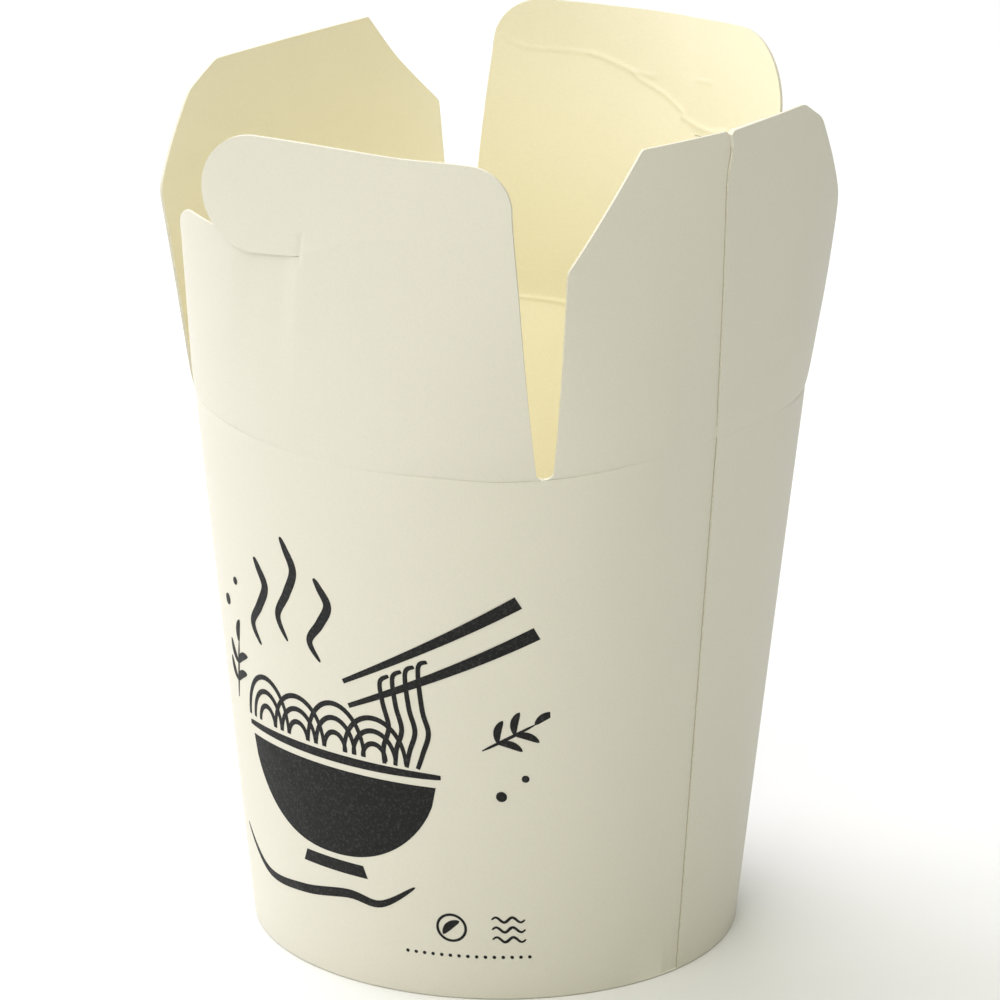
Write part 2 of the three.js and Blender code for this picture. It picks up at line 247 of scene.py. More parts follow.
def board_material(name, colour, roughness, grain=0.03, bump=0.12):
    """Paperboard: a cloudy formation, a fine grain and a faint tooth."""
    material, tree, shader = node_material(name)
    darker = tuple(c * (1 - CLOUD_DARKENS) for c in colour)
    clouds = noise_ramp(tree, CLOUD_SCALE, 3, darker, colour)
    specks = noise_ramp(tree, GRAIN_SCALE, 2, shade(1 - grain), shade(1), stops=(0.35, 0.6))
    tree.links.new(multiply(tree, clouds, specks), shader.inputs["Base Color"])
    gloss = noise_ramp(tree, GLOSS_SCALE, 2, shade(roughness - GLOSS_SPREAD),
                       shade(roughness + GLOSS_SPREAD))
    tree.links.new(gloss, shader.inputs["Roughness"])
    put(shader, "Specular IOR Level", 0.5)
    tooth = tree.nodes.new("ShaderNodeBump")
    put(tooth, "Strength", bump)
    put(tooth, "Distance", TOOTH_HEIGHT * MM)
    tree.links.new(add_noise(tree, TOOTH_SCALE, 4, 0.6), tooth.inputs["Height"])
    tree.links.new(tooth.outputs["Normal"], shader.inputs["Normal"])
    return material


BOARDS = [
    board_material("board_outside", (0.722, 0.695, 0.585), 0.5),
    # the inside's own warm lining colour, made lighter and warmer as painted light for the light
    # that comes through the board and bounces round inside
    board_material("board_inside", (0.955, 0.905, 0.70), 0.45),
    board_material("board_raw_edge", (0.71, 0.68, 0.56), 0.8, grain=0.1, bump=0.3),
    # painted shadow: a dark colour for the shade in the gap at the foot of the seam's raw edge
    board_material("board_seam_shadow", (0.36, 0.325, 0.225), 0.8, grain=0.2, bump=0.3),
]


def ink_material():
    """Printed black: dense, with the board's tooth showing as fine paler flecks."""
    material, tree, shader = node_material("print_ink")
    flecks = add_ramp(tree, add_noise(tree, FLECK_SCALE, 3), [
        (0.3, shade(0.03)), (0.5, shade(0.009)), (1.0, shade(0.006)),
    ])
    tree.links.new(flecks, shader.inputs["Base Color"])
    gloss = noise_ramp(tree, INK_GLOSS_SCALE, 2, shade(0.5), shade(0.6))
    tree.links.new(gloss, shader.inputs["Roughness"])
    put(shader, "Specular IOR Level", 0.2)
    return material


# ---- Mesh pieces ----

SHARP_TURN = 50  # degrees


def add_object(name, data):
    added = bpy.data.objects.new(name, data)
    bpy.context.scene.collection.objects.link(added)
    return added


def make_piece(name, points, faces, materials, face_materials):
    """A mesh object from points in millimetres about the base's axis, placed in the frame.
    face_materials gives each face's place in the list of materials."""
    placed = np.asarray(points, float) * MM
    placed[:, 0] += AXIS_X
    placed[:, 1] += AXIS_Y
    mesh = bpy.data.meshes.new(name)
    mesh.from_pydata(placed.tolist(), [], faces)
    for material in materials:
        mesh.materials.append(material)
    mesh.polygons.foreach_set("material_index", face_materials)
    mesh.polygons.foreach_set("use_smooth", [True] * len(faces))
    mark_sharp_edges(mesh)
    mesh.update()
    return add_object(name, mesh)


def close_board(outer, count):
    """Inner faces and rim of a board. An inner point comes count places after its outer one."""
    inner = [tuple(i + count for i in reversed(face)) for face in outer]
    edges = {(face[i - 1], face[i]) for face in outer for i in range(len(face))}
    rim = [(b, a, a + count, b + count) for a, b in edges if (b, a) not in edges]
    return inner, rim


def mark_sharp_edges(mesh):
    """Edges are sharp where two materials meet and where the surface turns sharply."""
    sides = {}
    for polygon in mesh.polygons:
        for key in polygon.edge_keys:
            sides.setdefault(key, []).append(polygon)
    values = []
    for edge in mesh.edges:
        one, other = sides[edge.key][0], sides[edge.key][-1]
        turned = one.normal.dot(other.normal) < math.cos(math.radians(SHARP_TURN))
        values.append(turned or one.material_index != other.material_index)
    sharp = mesh.attributes.new("sharp_edge", "BOOLEAN", "EDGE")
    sharp.data.foreach_set("value", values)


# ---- The mouth ----

def near_middle(angle):
    """1 at a side's middle, 0 at the slots."""
    return (1 + np.cos(4 * angle)) / 2


def mouth_radius(kind, angle):
    return mix(CORNER_RADIUS, kind.side_radius, near_middle(angle))


def crease_level(kind, angle):
    return CREASE_HEIGHT + kind.crease_rise * near_middle(angle)


def crease_wander(azimuth):
    """How far the scored line strays upwards from the nominal crease."""
    return sum(rise * bell(azimuth - middle, spread) for middle, spread, rise in CREASE_BENDS)


def groove_depth(dust, angle):
    """Depth of the scored line: deep and sharp at the slots, swelling once more farther in."""
    from_slot = 45 - np.abs(np.degrees(angle))
    swells = [bell(from_slot - kind.swell_at, kind.swell_width) for kind in (DUST, CLOSURE)]
    depth = GROOVE_LEAST + GROOVE_SWELL * np.where(dust, *swells)
    depth = depth + GROOVE_AT_SLOT * bell(from_slot, NEAR_SLOT)
    return depth * (1 - bell(from_slot, GROOVE_STOP))


def side_at(azimuth):
    """Whether the side there has a dust flap, and the angle from its middle."""
    side = np.round(azimuth / 90)
    return side % 2 == 1, np.radians(azimuth - 90 * side)


def mouth_at(azimuth):
    """Mouth radius and crease height at azimuths in degrees from -Y towards +X."""
    dust, angle = side_at(azimuth)
    return [np.where(dust, measure(DUST, angle), measure(CLOSURE, angle))
            for measure in (mouth_radius, crease_level)]


def plies(distance):
    """How far the outer and inner faces lie inside the nominal outer face, at a distance to
    the right of the seam, where the right ply lies outside."""
    sunk = np.where(distance < 0, SEAM_STEP * np.clip(1 + distance / SEAM_FADE, 0, 1), 0)
    doubled = (distance >= 0) & (distance < LAP)
    return sunk, sunk + np.where(doubled, BOARD + SEAM_STEP, BOARD)


# ---- Wall and base ----

WALL_STEP = 1.0  # degrees between columns
CLEAR_SHARE = 0.4  # no such column is nearer to those of the seam than this share of a step
FOOT_DEGREE = math.radians(1) * BASE_RADIUS  # length of a degree along the foot
# distances of the wall's rows below the crease, close together at the scored line
CREASE_ROWS = [0, 0.12, 0.25, 0.38, 0.52, 0.7, 0.95, 1.3, 1.9, 3, 5, 9]
BODY_ROWS = 12
LOWEST_INSIDE = 3  # the lowest of them inside is this far above the base
LEAN_SPREAD = 30  # degrees to either side over which the seam's lean fades
SKIRT_GAP = 0.3  # from the base's skirt to the wall, and to the hem
HEM_LEAN, HEM_ROUND = 0.3, 0.3  # the hem leans out at its top, and is rounded at the foot


def wall_azimuths():
    """Columns round the wall, with extra ones at the steps of the seam."""
    steps = [SEAM_AZIMUTH + d / FOOT_DEGREE for d in
             (-SEAM_SHADOW_WIDTH, -WALL_EDGE_RUN, 0, LAP, LAP + LAP_END_RUN)]
    regular = np.arange(0, 360, WALL_STEP)
    clear = [a for a in regular if min(abs(a - s) for s in steps) > CLEAR_SHARE * WALL_STEP]
    return np.array(sorted([*clear, *steps]))


def wall_outer(azimuth, z):
    """Radius of the wall's nominal outer face."""
    mouth, top = mouth_at(azimuth)
    return mix(BASE_RADIUS, mouth, z / top)


def wall_section(azimuths):
    """Radii and heights round the wall's section, as arrays of (points, azimuths), and the
    material of the strip that starts at each point."""
    top = mouth_at(azimuths)[1] + crease_wander(azimuths)
    depth = groove_depth(*side_at(azimuths))
    outer_sunk, inner_sunk = plies(np.radians(azimuths - SEAM_AZIMUTH) * BASE_RADIUS)
    radii, heights, materials = [], [], []

    def add(radius, z, material):
        radii.append(np.broadcast_to(radius, azimuths.shape))
        heights.append(np.broadcast_to(z, azimuths.shape))
        materials.append(material)

    def outer(below, material=OUTER):
        z = top - below
        groove = depth * np.exp(-below / GROOVE_BELOW)
        add(wall_outer(azimuths, z) - outer_sunk - groove, z, material)

    def inner(below):
        z = top - below
        bead = BEAD_HEIGHT * bell(below, BEAD_WIDTH)
        add(wall_outer(azimuths, z) - inner_sunk - bead, z, INNER)

    for degrees in (0, 22.5, 45, 67.5, 90):
        turn = math.radians(degrees)
        sunk = outer_sunk if degrees == 90 else 0
        add(BASE_RADIUS - FOOT_ROUND * (1 - math.sin(turn)) - sunk,
            FOOT_ROUND * (1 - math.cos(turn)), OUTER)
    for share in np.linspace(0, 1, BODY_ROWS + 1)[1:-1]:
        outer(mix(top - FOOT_ROUND, CREASE_ROWS[-1], share))
    for below in reversed(CREASE_ROWS[1:]):
        outer(below)
    outer(0, EDGE)
    for below in CREASE_ROWS:
        inner(below)
    for share in np.linspace(0, 1, BODY_ROWS + 1)[1:]:
        inner(mix(CREASE_ROWS[-1], top - BASE_LEVEL - LOWEST_INSIDE, share))
    add(wall_outer(azimuths, BASE_LEVEL) - BOARD, BASE_LEVEL, INNER)
    hem = BASE_RADIUS - 2 * BOARD - 2 * SKIRT_GAP
    add(BASE_RADIUS - BOARD, BOARD, INNER)
    add(hem, BOARD, INNER)
    add(hem + HEM_LEAN, HEM_TOP, EDGE)
    add(hem + HEM_LEAN - BOARD, HEM_TOP, OUTER)
    add(hem - BOARD, HEM_ROUND, OUTER)
    add(hem - BOARD + HEM_ROUND, 0, OUTER)
    return np.array(radii), np.array(heights), materials


def ring_mesh(azimuths, section, closed=True):
    """Points, faces and materials of a ring with a section for every azimuth. A section that
    isn't closed starts and ends on the axis."""
    radii, heights, strips = section(azimuths)
    count, columns = radii.shape
    turn = np.radians(azimuths)
    points = np.stack([radii * np.sin(turn), -radii * np.cos(turn), heights], -1)
    points = points.transpose(1, 0, 2).reshape(-1, 3)
    faces, tags = [], []
    for i in range(columns):
        here, there = i * count, ((i + 1) % columns) * count
        for k in range(count if closed else count - 1):
            following = (k + 1) % count
            faces.append((here + k, there + k, there + following, here + following))
            tags.append(strips[k])
    return points, faces, tags


def lean_seam(points):
    """Turns the wall's points beside the seam round the axis, the more the lower they are."""
    azimuth = np.degrees(np.arctan2(points[:, 0], -points[:, 1])) % 360
    share = np.clip(1 - points[:, 2] / CREASE_HEIGHT, 0, 1)
    turn = np.radians(SEAM_LEAN * share * bell(azimuth - SEAM_AZIMUTH, LEAN_SPREAD))
    points[:, 0], points[:, 1] = rotated(points[:, 0], points[:, 1], turn)


def tag_seam(azimuths, tags):
    """Cut board where the seam's raw edge rises, and before it a painted shadow: a dark strip that
    stands for the shade at its foot.
    """
    count = len(tags) // len(azimuths)
    at_seam = int(np.searchsorted(azimuths, SEAM_AZIMUTH))
    for column, material in ((at_seam - 2, SEAM_SHADOW), (at_seam - 1, EDGE)):
        for k in range(column * count, (column + 1) * count):
            if tags[k] == OUTER:
                tags[k] = material


def make_wall():
    azimuths = wall_azimuths()
    points, faces, tags = ring_mesh(azimuths, wall_section)
    lean_seam(points)
    tag_seam(azimuths, tags)
    piece = make_piece("wall_board", points, faces, BOARDS, tags)
    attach(piece, "box")
    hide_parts("wall")


BASE_STEP = 2.5  # degrees between columns
DISC_GAP = 0.02  # from the disc to the wall
# the disc's upper face up to its rounded rim: share of the radius, and drop below its level
DISC_PROFILE = [
    (0, 0), (0.35, 0), (0.7, 0), (0.93, 0), (0.965, 0.03), (0.985, 0.12), (0.996, 0.32),
]
RIM_DROP = 0.7  # where the rim meets the wall
SKIRT_FOOT, SKIRT_FLARE = 0.8, 0.05  # height of the skirt's lower edge, and its flare there
SKIRT_LEAN = 0.2  # of its inner face, outwards at the top
BEND_DROP, BEND_WIDTH = 0.4, 0.3  # size of the bend between skirt and disc, underneath
MERGE_DISTANCE = 1e-7  # metres


def base_section(azimuths):
    """The base disc, pushed up inside the wall, and its skirt."""
    rim = wall_outer(azimuths, BASE_LEVEL) - BOARD - DISC_GAP
    skirt_outside = BASE_RADIUS - BOARD - SKIRT_GAP
    skirt_inside = skirt_outside - BOARD
    underside = BASE_LEVEL - BOARD
    upper = [(rim * share, BASE_LEVEL - drop) for share, drop in DISC_PROFILE]
    lower = [
        (rim, BASE_LEVEL - RIM_DROP), (skirt_outside + SKIRT_FLARE, SKIRT_FOOT),
        (skirt_inside, SKIRT_FOOT), (skirt_inside + SKIRT_LEAN, underside - BEND_DROP),
        (skirt_inside - BEND_WIDTH, underside), (0, underside),
    ]
    radii = [np.broadcast_to(radius, azimuths.shape) for radius, _ in upper + lower]
    heights = [np.full_like(azimuths, z) for _, z in upper + lower]
    materials = [INNER] * len(upper) + [INNER, EDGE] + [OUTER] * (len(lower) - 2)
    return np.array(radii), np.array(heights), materials


def merge_poles(mesh):
    """Makes one point of those that lie together on the axis."""
    work = bmesh.new()
    work.from_mesh(mesh)
    bmesh.ops.remove_doubles(work, verts=work.verts, dist=MERGE_DISTANCE)
    work.to_mesh(mesh)
    work.free()


def make_base():
    azimuths = np.arange(0, 360, BASE_STEP)
    points, faces, tags = ring_mesh(azimuths, base_section, closed=False)
    faces = [face[::-1] for face in faces]  # its section runs the other way round
    piece = make_piece("base_disc", points, faces, BOARDS, tags)
    merge_poles(piece.data)
    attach(piece, "box")
    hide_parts("base")


# ---- A flap's surface ----

def width_at(kind, share, y):
    return share * HALF_SIDE * ((CORNER_RADIUS + kind.side_radius) / 2 + FAN * y)


def share_at(kind, x, y):
    return x / width_at(kind, 1, y)


def head_point(flap, share):
    """Point of the head's arc at a share of the half side, as right and outwards."""
    along = width_at(flap.kind, share, HEAD_HEIGHT)
    ridge_at = width_at(flap.kind, RIDGE_SHARE, HEAD_HEIGHT)
    radius = flap.head_radius
    right, out = radius * np.sin(along / radius), -radius * (1 - np.cos(along / radius))
    ridge_right = radius * math.sin(ridge_at / radius)
    ridge_out = -radius * (1 - math.cos(ridge_at / radius))
    ridge = np.where(along > ridge_at, math.radians(flap.ridge), 0)
    beyond_right, beyond_out = rotated(right - ridge_right, out - ridge_out, -ridge)
    right, out = rotated(ridge_right + beyond_right, ridge_out + beyond_out,
                         -math.radians(flap.turn))
    return flap.shift + right, flap.reach + out


def lower_edge(flap, x, y):
    """Height on the flat board at which a flap's scored line crosses, at a place to the right."""
    angle = share_at(flap.kind, x, y) * HALF_SIDE
    wander = crease_wander(flap.facing + np.degrees(angle))
    return flap.kind.crease_rise * near_middle(angle) + wander


def flap_point(flap, x, y):
    """Nominal outer face of a flap at points of the flat board, in the box's axes."""
    share = share_at(flap.kind, x, y)
    angle = share * HALF_SIDE
    radius = mouth_radius(flap.kind, angle)
    foot_right, foot_out = radius * np.sin(angle), radius * np.cos(angle)
    head_right, head_out = head_point(flap, share)
    along = y - flap.kind.crease_rise * near_middle(angle)
    slope_right = (head_right - foot_right) / HEAD_HEIGHT
    slope_out = (head_out - foot_out) / HEAD_HEIGHT
    climb = np.sqrt(1 - slope_right ** 2 - slope_out ** 2)
    sag = 4 * flap.hollow * along * (along - HEAD_HEIGHT) / HEAD_HEIGHT ** 2
    right = foot_right + along * slope_right
    out = foot_out + along * slope_out + sag
    z = crease_level(flap.kind, angle) + along * climb
    return np.stack([*rotated(right, -out, math.radians(flap.facing)), z], -1)


def flap_normal(flap, x, y):
    reach = 0.5
    across = flap_point(flap, x + reach, y) - flap_point(flap, x - reach, y)
    up = flap_point(flap, x, y + reach) - flap_point(flap, x, y - reach)
    normal = np.cross(across, up)
    return normal / np.linalg.norm(normal, axis=1)[:, None]


# ---- The flat board of a flap ----

class Sheet:
    """Flat board of quads that grows by spans between two lines of equally many points."""

    def __init__(self):
        self.points = []
        self.faces = []
        self.known = {}

    def vertex(self, point):
        key = tuple(round(v, 3) for v in point[:2])
        if key not in self.known:
            self.known[key] = len(self.points)
            self.points.append(tuple(point))
        return self.known[key]

    def span(self, lower, upper, shares):
        """Strips between two lines that run from left to right, at rising shares of the way."""
        rows = [[self.vertex([mix(a, b, t) for a, b in zip(p, q)])
                 for p, q in zip(lower, upper)] for t in shares]
        for low, high in zip(rows, rows[1:]):
            for k in range(len(low) - 1):
                corners = [low[k], low[k + 1], high[k + 1], high[k]]
                face = [c for i, c in enumerate(corners) if c != corners[i - 1]]
                if len(face) > 2:
                    self.faces.append(tuple(face))


def even(count):
    return [i / count for i in range(count + 1)]


def spread(start, end, count):
    return [mix(start, end, share) for share in even(count)]


def line(start, end, count):
    return list(zip(spread(start[0], end[0], count), spread(start[1], end[1], count)))


def arc(centre, radius, start, end, count):
    turns = [math.radians(degrees) for degrees in spread(start, end, count)]
    return [(centre[0] + radius * math.cos(t), centre[1] + radius * math.sin(t)) for t in turns]


def join(*stretches):
    return [p for i, stretch in enumerate(stretches) for p in (stretch[1:] if i else stretch)]


# heights above the crease at which the lowest strips end, close together where the root springs
ROOT_ROWS = [0, 0.1, 0.22, 0.36, 0.52, 0.7, 0.9, 1.15, 1.45, 1.8, 2.3, 3, 4, 5.3, 7, 9, 11.5]


def crease_edge(flap, stops):
    """The flap's lower edge on the crease, at the given places to the right, unlifted."""
    return [(x, float(lower_edge(flap, x, 0)), 0) for x in stops]


CORNER_STEPS = 8
LEVEL_RISE = 0.01  # of a dust flap's level top, so that its outline rises all the way


def rounded(corners):
    """A chain of straight stretches with each corner rounded off by its third value."""
    path = [corners[0][:2]]
    for before, corner, after in zip(corners, corners[1:], corners[2:]):
        ends = []
        for other in (before, after):
            share = corner[2] / math.dist(corner[:2], other[:2])
            ends.append([mix(corner[axis], other[axis], share) for axis in (0, 1)])
        for t in even(CORNER_STEPS):
            path.append(tuple(
                (1 - t) ** 2 * ends[0][axis] + 2 * t * (1 - t) * corner[axis]
                + t ** 2 * ends[1][axis] for axis in (0, 1)))
    return path + [corners[-1][:2]]


def half_width(outline, y):
    """Distance of a dust flap's edge from its middle, at a height."""
    middle = (0, outline[-1][1] + LEVEL_RISE, 0)
    widths, heights = zip(*rounded([*outline, middle]))
    return float(np.interp(y, heights, widths))


def seam_at(y):
    """Place of the glued seam across the flap at a height."""
    stray = SEAM_STRAY * (1 - np.exp(-y / STRAY_RISE)) * np.exp(-y / STRAY_FADE)
    return width_at(DUST, SEAM_SHARE, y) - stray + SEAM_BOW * bell(y - BOW_HEIGHT, BOW_SPREAD)


def notch_depth(x, y):
    """How far the top edge dips where the seam's raw edge runs out of it."""
    rise = way(y, NOTCH_FROM, DUST.height)
    return NOTCH_DEPTH * rise * float(bell(x - seam_at(y) - NOTCH_PLACE, NOTCH_WIDTH))


PLAIN_COLUMNS = 70  # across a dust flap that doesn't carry the seam
FINE_WIDTH = 1.4  # the columns are close together beside the seam, for the notch
CURVE_FADE = 12  # height up to which the rows still follow the crease's curve
# heights of a dust flap's rows above the root, close together where its outline turns
DUST_ROWS = [
    *np.linspace(14, 33, 12), 34, 35, 35.8, 36.5, 37.1, 37.6, 38, 38.4, 38.9, 39.4, 40, 41.2,
    43, 44.8, 46.3, 47.6, 48.7, 49.8, 51, 52, 52.7, 53.3, 53.8, 54.3, 54.8, 55.5, 56.1,
]
TOP_DROPS = [1.2, 0.9, 0.7, 0.5, 0.35, 0.22, 0.12, 0.05, 0]  # of its last rows, from the top


def dust_row(flap, y):
    """Places to the right across a dust flap. Where it carries the seam, columns run along it."""
    left, right = -half_width(flap.left, y), half_width(flap.right, y)
    if not flap.ridge:
        return spread(left, right, PLAIN_COLUMNS)
    seam = float(seam_at(y))
    # each stretch's right end, and its number of columns
    ends = [(seam - SEAM_SHADOW_WIDTH, 30), (seam - FLAP_EDGE_RUN, 1), (seam, 1), (seam + FINE_WIDTH, 8),
            (seam + LAP, 8), (seam + LAP + LAP_END_RUN, 1), (right, 22)]
    starts = [left, *(end for end, _ in ends)]
    return join(*(spread(start, end, count) for start, (end, count) in zip(starts, ends)))


def dust_sheet(flap):
    heights = [*ROOT_ROWS, *DUST_ROWS, *(DUST.height - drop for drop in TOP_DROPS)]
    sheet = Sheet()
    rows = [crease_edge(flap, dust_row(flap, 0))]
    curve = [y for _, y, _ in rows[0]]
    for height in heights[1:]:
        fade = way(height, CURVE_FADE, 0)
        row = dust_row(flap, height)
        drops = [notch_depth(x, height) if flap.ridge else 0 for x in row]
        rows.append([(x, height + fade * rise - drop, 0)
                     for x, rise, drop in zip(row, curve, drops)])
    for low, high in zip(rows, rows[1:]):
        sheet.span(low, high, [0, 1])
    return sheet


SLIT_X, SLIT_Y = CLOSURE.slit_end
SLIT_BELOW, SLIT_ABOVE = (SLIT_Y + side * CLOSURE.slit_width / 2 for side in (-1, 1))
EDGE_IN_BETWEEN = (30, 50)  # heights
TOP_RISE_FROM = 8  # the top edge rises from here to its corner
CORNER_SHARE = 0.6  # top_rise lifts the corner by this share of itself
# places between which the ear's edge goes behind the tab, and comes out again
EAR_SINKS, EAR_RISES = (-22, -17), (SLIT_X, SLIT_X - 3)
EAR_BEND_FROM = -12  # to the left of here the ear bends back
RIGHT_COLUMNS, CORNER_COLUMNS = 104, 24  # right of the slit, and those of them at the corner
TAB_COLUMNS = [20, 22]  # round the tab's end, and along its root
EAR_COLUMNS = [6, 8, 10, 18]  # round its corner, along its top, round the tab, along the slit
TAB_ROWS = 52  # fine enough for the folds that cross a closure flap
EVEN_ROWS = 28  # between the root and the slit
CLOSURE_ROWS = join([y / SLIT_Y for y in ROOT_ROWS],
                    spread(ROOT_ROWS[-1] / SLIT_Y, 1, EVEN_ROWS))


def on_board(points):
    return [(x, y, 0) for x, y in points]


def tab_centre(flap):
    x, y = CLOSURE.tab_centre
    return x - flap.tab_reach, y + flap.tab_rise


def right_edge(flap, y):
    return CLOSURE.crease - CLOSURE.taper * y - flap.edge_in * way(y, *EDGE_IN_BETWEEN)


def add_main_board(sheet, flap):
    """The board to the right of the slit: below it, past its end, and above it."""
    past_slit = [on_board(line((SLIT_X, y), (right_edge(flap, y), y), RIGHT_COLUMNS))
                 for y in (SLIT_BELOW, SLIT_ABOVE)]
    slit_top = CLOSURE.height + flap.top_rise
    corner_top = CLOSURE.corner_top + CORNER_SHARE * flap.top_rise
    corner_y = corner_top - CLOSURE.corner_radius
    corner_x = right_edge(flap, corner_y) - CLOSURE.corner_radius

    def top_at(x):
        t = way(x, TOP_RISE_FROM, corner_x)
        return mix(slit_top, corner_top, t * t * (3 - 2 * t))

    top = join(
        [(x, top_at(x)) for x in spread(SLIT_X, corner_x, RIGHT_COLUMNS - CORNER_COLUMNS)],
        arc((corner_x, corner_y), CLOSURE.corner_radius, 90, 0, CORNER_COLUMNS),
    )
    crease = crease_edge(flap, spread(SLIT_X, CLOSURE.crease, RIGHT_COLUMNS))
    sheet.span(crease, past_slit[0], CLOSURE_ROWS)
    sheet.span(*past_slit, [0, 1])
    sheet.span(past_slit[1], on_board(top), even(TAB_ROWS))


def add_tab(sheet, flap):
    """The tab above the slit. Its free end has a lift as its third value."""
    tab_x, tab_y = centre = tab_centre(flap)
    radius = CLOSURE.tab_radius

    def lifted(points):
        free = [min(2, max(0, (SLIT_X - x) / (SLIT_X - tab_x))) for x, _ in points]
        return [(x, y, flap.tab_lift * f ** 2 / 2) for (x, y), f in zip(points, free)]

    under = join(arc(centre, radius, 180, 270, TAB_COLUMNS[0]),
                 line((tab_x, tab_y - radius), (SLIT_X, SLIT_ABOVE), TAB_COLUMNS[1]))
    over = join(arc(centre, radius, 180, 90, TAB_COLUMNS[0]),
                line((tab_x, tab_y + radius), (SLIT_X, CLOSURE.height + flap.top_rise),
                     TAB_COLUMNS[1]))
    sheet.span(lifted(under), lifted(over), even(TAB_ROWS))


def add_ear(sheet, flap):
    """The ear, below the tab and beside it."""
    kind = CLOSURE
    tab_x, tab_y = centre = tab_centre(flap)
    beside_tab = kind.tab_radius + kind.slit_width
    root_angle = 180 + math.degrees(
        math.atan2(tab_y - kind.ear_root[1], tab_x - kind.ear_root[0]))
    corner = (flap.ear_edge + kind.ear_radius, kind.ear_top - kind.ear_radius)
    root = arc(centre, beside_tab, root_angle, root_angle, 1)[0]
    top = join(
        arc(corner, kind.ear_radius, 180, 90, EAR_COLUMNS[0]),
        line((corner[0], kind.ear_top), root, EAR_COLUMNS[1]),
        arc(centre, beside_tab, root_angle, 270, EAR_COLUMNS[2]),
        line((tab_x, tab_y - beside_tab), (SLIT_X, SLIT_BELOW), EAR_COLUMNS[3]),
    )

    def sunk(points):
        """The ear's edge along the slit lies behind the tab's, and the ear bends back."""
        depths = [min(way(x, *EAR_SINKS), way(x, *EAR_RISES)) for x, _ in points]
        bends = [flap.ear_bend * max(0, EAR_BEND_FROM - x) ** 2 for x, _ in points]
        return [(x, y, -flap.ear_sink * depth - bend)
                for (x, y), depth, bend in zip(points, depths, bends)]

    crease = crease_edge(flap, spread(-kind.crease, SLIT_X, sum(EAR_COLUMNS)))
    sheet.span(crease, sunk(top), CLOSURE_ROWS)


def closure_sheet(flap):
    sheet = Sheet()
    add_main_board(sheet, flap)
    add_tab(sheet, flap)
    add_ear(sheet, flap)
    return sheet


def flared(flap, x, y):
    """Widens a flap's lowest edge into the rounded bottoms of the slots beside it."""
    kind = flap.kind
    above = np.clip(y - lower_edge(flap, x, y), 0, SLOT_FILLET)
    gap = width_at(kind, 1, 0) - kind.crease + SLOT_OVERLAP
    fillet = 1 - np.sqrt(1 - (1 - above / SLOT_FILLET) ** 2)
    nearness = np.abs(x / kind.crease) ** SLOT_SHARPNESS
    return x + np.sign(x) * gap * fillet * nearness


# ---- Folds and waves of the flaps ----

def distance_to_path(x, y, path):
    """Distance from points of the flat board to a chain of straight stretches."""
    nearest = np.full(x.shape, np.inf)
    for (ax, ay), (bx, by) in zip(path, path[1:]):
        dx, dy = bx - ax, by - ay
        t = np.clip(((x - ax) * dx + (y - ay) * dy) / (dx * dx + dy * dy), 0, 1)
        nearest = np.minimum(nearest, np.hypot(x - ax - t * dx, y - ay - t * dy))
    return nearest


# Creases left by bending the free tabs. Each is a ridge: its path on the flat board, its height
# outwards and its width.
RIDGES = {
    "flap_front": [
        ([(-6.6, 37), (2, 41.1), (12.8, 43.1), (26, 44)], 0.06, 0.6),
        ([(-7.4, 35.4), (-7.2, 40.5)], -0.2, 0.4),
        ([(33, 3.4), (40, 7.9)], 0.12, 0.7),
    ],
    "flap_back": [
        ([(-4.8, 39.2), (-4.5, 40.4), (-0.6, 42.9), (5.4, 45.3), (6.6, 46.4), (12.5, 48.4),
          (14.7, 48.9)], -0.26, 0.34),
        ([(14.7, 48.9), (22.4, 49.3), (26.8, 49.4), (30, 50.5), (31.8, 51.9)], -0.16, 0.34),
        ([(6.6, 46.4), (1.9, 46)], -0.17, 0.34),
        ([(-15.4, 38.5), (-11.6, 37.6), (-8.2, 38.1), (-4.8, 39.2)], -0.2, 0.4),
        ([(-11.5, 46.9), (-8.3, 46.9)], -0.12, 0.34),
    ],
}
# Above its crease the board leans inwards: the crease from left to right, and the slope.
LEANS = {
    "flap_front": ([(-30, 36), (-18, 35.4), (-7.5, 36.4), (2, 41.1), (12.8, 43.1), (33, 44)],
                   0.012),
    "flap_back": ([(-30, 36), (-18, 35.4), (-7.5, 36.4), (-4.8, 39.2), (-0.6, 42.5),
                   (6.6, 46), (14.7, 48.7), (26.8, 49.4), (33, 52)], 0.085),
}
LEAN_SOFTNESS = 0.3


def lean_inwards(flap, x, y):
    path, slope = LEANS.get(flap.name, ([(0, 0)], 0))
    crease_x, crease_y = zip(*path)
    above = y - np.interp(x, crease_x, crease_y)
    return slope * (above + np.sqrt(above ** 2 + LEAN_SOFTNESS ** 2)) / 2


def flap_relief(flap, x, y):
    """How far the outer and inner faces stand out from their nominal places."""
    above = np.maximum(y - lower_edge(flap, x, y), 0)
    towards_end = mix(ROOT_MIDDLE, 1, np.abs(share_at(flap.kind, x, y)) ** ROOT_SHARPNESS)
    spring = ROOT_BULGE * towards_end
    spring = spring * (1 - np.exp(-above / ROOT_RISE)) * np.exp(-above / ROOT_FADE)
    both = spring - lean_inwards(flap, x, y)
    for path, height, width in RIDGES.get(flap.name, []):
        both = both + height * bell(distance_to_path(x, y, path), width)
    depth = groove_depth(flap.kind is DUST, share_at(flap.kind, x, y) * HALF_SIDE)
    outer = both - depth * np.exp(-above / GROOVE_ABOVE)
    inner = both - BEAD_HEIGHT * bell(above, BEAD_WIDTH)
    return outer, inner


NO_SEAM = -1000  # distance from the seam on a flap that has none
ROUNDING = 1e-4  # so that rounding doesn't put the raw edge to the left of the seam
NEAR_LINE = 0.01  # a point this near to a line of the seam lies on it


def seam_peel(from_seam, y):
    """How far the outer ply stands off beside the top of the seam."""
    fade = np.exp(-np.maximum(from_seam, 0) / PEEL_WIDTH)
    peel = SEAM_PEEL * bell(y - DUST.height, PEEL_HEIGHT) * fade
    return np.where(from_seam >= -NEAR_LINE, peel, 0)


